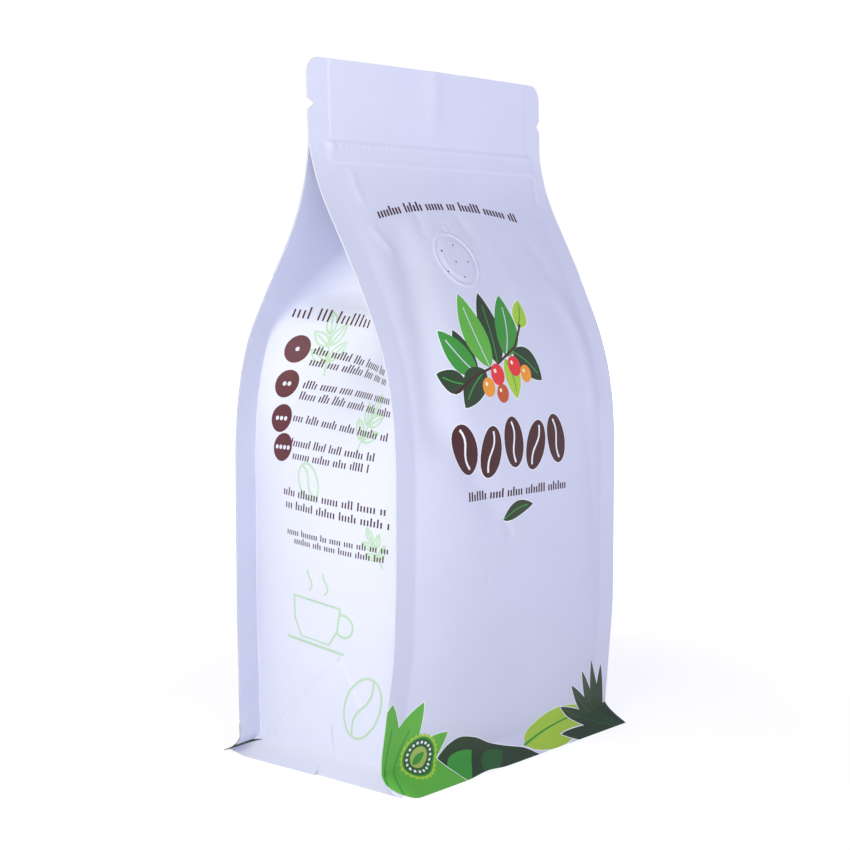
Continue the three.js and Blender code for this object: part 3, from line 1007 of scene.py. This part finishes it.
# -------- materials
INKS = {
    "film": (0.55, 0.577, 0.75),
    "cut_edge": (0.5, 0.51, 0.62),
    "dark_green": (0.02, 0.045, 0.022),
    "deep_green": (0.02, 0.1, 0.025),
    "bright_green": (0.1, 0.38, 0.05),
    "leaf_green": (0.04, 0.26, 0.04),
    "lime": (0.33, 0.52, 0.05),
    "olive": (0.3, 0.42, 0.1),
    "red": (0.66, 0.03, 0.04),
    "orange": (0.72, 0.28, 0.03),
    "rust": (0.46, 0.08, 0.02),
    "cream": (0.8, 0.76, 0.6),
    "pale": (0.74, 0.76, 0.84),
    "brown": (0.05, 0.01, 0.015),
    "text_brown": (0.06, 0.025, 0.045),
    "disc_brown": (0.085, 0.02, 0.032),
    "pale_green": (0.37, 0.52, 0.42),
    # painted shade: the near-black inside of the valve's pinholes, which are not cut
    "pinhole": (0.02, 0.02, 0.04),
}
MOTTLE = (0.965, 1.02)  # an ink's darkest and lightest factor
ROUGHNESS = (0.5, 0.6)
MOTTLE_SCALE = 60
HAZE_SCALE = 220
GRAIN_SCALE = 2600
GRAIN_DEPTH = 0.0001
made_materials = {}


def set_inputs(node, values):
    for name, value in values.items():
        node.inputs[name].default_value = value


def film_material(ink):
    """Matte laminate printed in one ink: faint mottling, fine grain, and a soft sheen."""
    if ink in made_materials:
        return made_materials[ink]
    material = bpy.data.materials.new("film" if ink == "film" else "ink_" + ink)
    material.use_nodes = True
    nodes, links = material.node_tree.nodes, material.node_tree.links
    shader = nodes["Principled BSDF"]
    place = nodes.new("ShaderNodeTexCoord")

    def noise(scale, detail):
        node = nodes.new("ShaderNodeTexNoise")
        set_inputs(node, {"Scale": scale, "Detail": detail})
        links.new(place.outputs["Object"], node.inputs["Vector"])
        return node

    mottle = noise(MOTTLE_SCALE, 3)
    ramp = nodes.new("ShaderNodeValToRGB")
    colour = np.array(INKS[ink])
    for stop, factor in zip(ramp.color_ramp.elements, MOTTLE):
        stop.color = (*np.clip(colour * factor, 0, 1), 1)
    links.new(mottle.outputs["Fac"], ramp.inputs["Fac"])
    links.new(ramp.outputs["Color"], shader.inputs["Base Color"])
    haze = nodes.new("ShaderNodeMapRange")
    set_inputs(haze, {"To Min": ROUGHNESS[0], "To Max": ROUGHNESS[1]})
    links.new(noise(HAZE_SCALE, 2).outputs["Fac"], haze.inputs["Value"])
    links.new(haze.outputs["Result"], shader.inputs["Roughness"])
    bump = nodes.new("ShaderNodeBump")
    set_inputs(bump, {"Strength": 0.12, "Distance": GRAIN_DEPTH})
    links.new(noise(GRAIN_SCALE, 2).outputs["Fac"], bump.inputs["Height"])
    links.new(bump.outputs["Normal"], shader.inputs["Normal"])
    shader.inputs["Specular IOR Level"].default_value = 0.35
    made_materials[ink] = material
    return material


# -------- the bag
def valve_guides():
    """Rings round the valve, for the mesh to follow its relief."""
    guides = []
    for spot, radii, steps in (
        (VALVE, (7.4, 8, 8.5, 9, 9.5, 10, 10.5, 10.9, 11.3, 11.9, 12.6), 72),
        (WELD, (0.6, 1.2, 1.6, 1.9, 2.2, 2.7), 24),
    ):
        for radius in radii:
            guides.append(ellipse(spot["across"], spot["height"], radius, radius / VALVE_SLOPE, steps=steps))
    return guides


def make_panels():
    columns = steps_between([(-FLAT_HALF_WIDTH, 1), (-55, 1.35), (55, 1), (FLAT_HALF_WIDTH, 1)])
    rows = steps_between([(0, 0.6), (SKIRT_HEIGHT + 2, 1.5), (212, 0.75), (230, 1.4), (BAG_HEIGHT, 1)])
    front_edge = panel_outline(rounded_foot(-FLAT_HALF_WIDTH, 0, *FOOT_ROUNDING))
    back_edge = panel_outline([(-FLAT_HALF_WIDTH, 0)])
    return [
        film_sheet("front_panel", front_film, front_edge, columns, rows, front_print(), 1, valve_guides()),
        film_sheet("back_panel", back_film, back_edge, columns, rows, back_print(), -1),
    ]


def make_gussets():
    reach = GUSSET_HALF + FIN_WIDTH - GUSSET_TRIM
    columns = steps_between([(-reach, 2), (-42, 0.5), (-40.5, 0.25), (-39.5, 0.5), (-37, 1.3),
                             (37, 0.5), (39.5, 0.25), (40.5, 0.5), (42, 2), (reach, 1)])
    rows = steps_between([(0, 0.6), (SKIRT_HEIGHT + 2, 1.4), (GUSSET_TOP, 1)])
    right_edge = [(-reach, 0), (reach, 0), (reach, GUSSET_TOP), (-reach, GUSSET_TOP)]
    left_edge = rounded_foot(-reach, 0, *GUSSET_FOOT_ROUNDING) + right_edge[1:]
    sheets = []
    for name, side, seed, edge, prints in (
        ("gusset_left", -1, 5, left_edge, gusset_print(False) + ear_ink_and_shade()),
        ("gusset_right", 1, 6, right_edge, gusset_print(True)),
    ):
        film = gusset_film(side, seed)
        sheets.append(film_sheet(name, film, edge, columns, rows, prints, side, flap_guides()))
    return sheets


def make_base():
    lines = [i / 40 for i in range(-40, 41)]
    edge = rounded_foot(-1, -1, *BASE_ROUNDING) + [(1, -1), (1, 1), (-1, 1)]
    return film_sheet("base_panel", base_film, edge, lines, lines, [], -1)


def make_bag():
    for sheet in make_panels() + make_gussets() + [make_base()]:
        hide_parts("pouch")


# -------- stage, lamps and camera
FLOOR_REACH = 30
# The floor's own glow beside the bag, a little away from it and far away, and where it changes
FLOOR_GLOW = (0.75, 1.1, 1.6)
GLOW_NEAR = (0.12, 0.45)
GLOW_FAR = (0.6, 2.0)
HORIZON = (0.62, 1.02)  # brightness on the camera's side, and behind the bag
HORIZON_TURN = (-0.3, 0.4)
OVERHEAD = (0.34, 0.3, 0.55, 1)
OVERHEAD_FROM = (0.2, 0.6)
BEHIND = (0.76, 0.64, 0)  # from the camera to the bag along the floor
# Place, target, size, power and colour of each square lamp
LAMPS = {
    "key": ((-1.2, -0.72, 0.16), (0, 0, 0.12), 0.6, 3.3, (1.0, 0.97, 0.7)),
    "near": ((-0.55, -0.14, 0.2), (-0.03, 0, 0.15), 0.35, 1.25, (0.97, 0.94, 1.0)),
    "near_above": ((-0.5, -0.1, 0.5), (-0.03, 0, 0.18), 0.35, 1.25, (1.0, 0.99, 0.1)),
    "over_front": ((-0.35, -0.55, 1.2), (0, 0, 0.15), 0.8, 2.8, (0.7, 0.85, 1.0)),
}
CAMERA_PLACE = (-0.49430, -0.41433, 0.18165)
CAMERA_WAY = (0.7599, 0.6435, -0.0920)
CAMERA_LENS = 71.72


def put(name, data, place, way):
    """Adds a lamp or the camera at a place, looking a given way."""
    thing = add(name, data)
    thing.location = place
    thing.rotation_euler = way.to_track_quat("-Z", "Y").to_euler()
    return thing


def make_lamps():
    for name, (place, target, size, power, colour) in LAMPS.items():
        light = bpy.data.lights.new(name, "AREA")
        light.shape = "SQUARE"
        light.size = size
        light.energy = power
        light.color = colour
        put(name, light, place, Vector(target) - Vector(place))


def smooth_step(tree, value, start, end, low, high):
    """A node's output that goes smoothly from low to high while a value goes from start to end."""
    node = tree.nodes.new("ShaderNodeMapRange")
    node.interpolation_type = "SMOOTHSTEP"
    set_inputs(node, {"From Min": start, "From Max": end, "To Min": low, "To Max": high})
    tree.links.new(value, node.inputs["Value"])
    return node.outputs["Result"]


def make_floor():
    """A pale floor with a glow of its own, which is weaker round the bag."""
    mesh = bpy.data.meshes.new("floor")
    corners = [(x * FLOOR_REACH, y * FLOOR_REACH, 0) for x, y in ((-1, -1), (1, -1), (1, 1), (-1, 1))]
    mesh.from_pydata(corners, [], [(0, 1, 2, 3)])
    material = bpy.data.materials.new("floor")
    material.use_nodes = True
    tree = material.node_tree
    shader = tree.nodes["Principled BSDF"]
    set_inputs(shader, {"Base Color": (0.3, 0.3, 0.3, 1), "Roughness": 0.9, "Emission Color": (1, 1, 1, 1)})
    place = tree.nodes.new("ShaderNodeTexCoord")
    distance = tree.nodes.new("ShaderNodeVectorMath")
    distance.operation = "LENGTH"
    tree.links.new(place.outputs["Object"], distance.inputs[0])
    glow = tree.nodes.new("ShaderNodeMath")
    glow.operation = "ADD"
    near = smooth_step(tree, distance.outputs["Value"], *GLOW_NEAR, *FLOOR_GLOW[:2])
    beyond = smooth_step(tree, distance.outputs["Value"], *GLOW_FAR, 0, FLOOR_GLOW[2] - FLOOR_GLOW[1])
    tree.links.new(near, glow.inputs[0])
    tree.links.new(beyond, glow.inputs[1])
    tree.links.new(glow.outputs["Value"], shader.inputs["Emission Strength"])
    mesh.materials.append(material)
    add("floor", mesh)


def make_surroundings():
    """A studio that is white behind the bag, dimmer on the camera's side and cool above."""
    world = bpy.data.worlds.new("studio")
    world.use_nodes = True
    tree = world.node_tree
    place = tree.nodes.new("ShaderNodeTexCoord")
    split = tree.nodes.new("ShaderNodeSeparateXYZ")
    tree.links.new(place.outputs["Generated"], split.inputs["Vector"])
    facing = tree.nodes.new("ShaderNodeVectorMath")
    facing.operation = "DOT_PRODUCT"
    facing.inputs[1].default_value = BEHIND
    tree.links.new(place.outputs["Generated"], facing.inputs[0])
    horizon = smooth_step(tree, facing.outputs["Value"], *HORIZON_TURN, *HORIZON)
    overhead = smooth_step(tree, split.outputs["Z"], *OVERHEAD_FROM, 0, 1)
    mix = tree.nodes.new("ShaderNodeMix")
    mix.data_type = "RGBA"
    colour = {socket.identifier: socket for socket in mix.inputs}
    tree.links.new(overhead, colour["Factor_Float"])
    tree.links.new(horizon, colour["A_Color"])
    colour["B_Color"].default_value = OVERHEAD
    mixed = {socket.identifier: socket for socket in mix.outputs}["Result_Color"]
    tree.links.new(mixed, tree.nodes["Background"].inputs["Color"])
    scene = bpy.context.scene
    scene.world = world
    scene.view_settings.view_transform = "Standard"


def make_camera():
    """The photo's own view."""
    camera = bpy.data.cameras.new("camera")
    camera.sensor_width = 36
    camera.lens = CAMERA_LENS
    bpy.context.scene.camera = put("camera", camera, CAMERA_PLACE, Vector(CAMERA_WAY))


make_bag()
make_floor()
make_surroundings()
make_lamps()
make_camera()
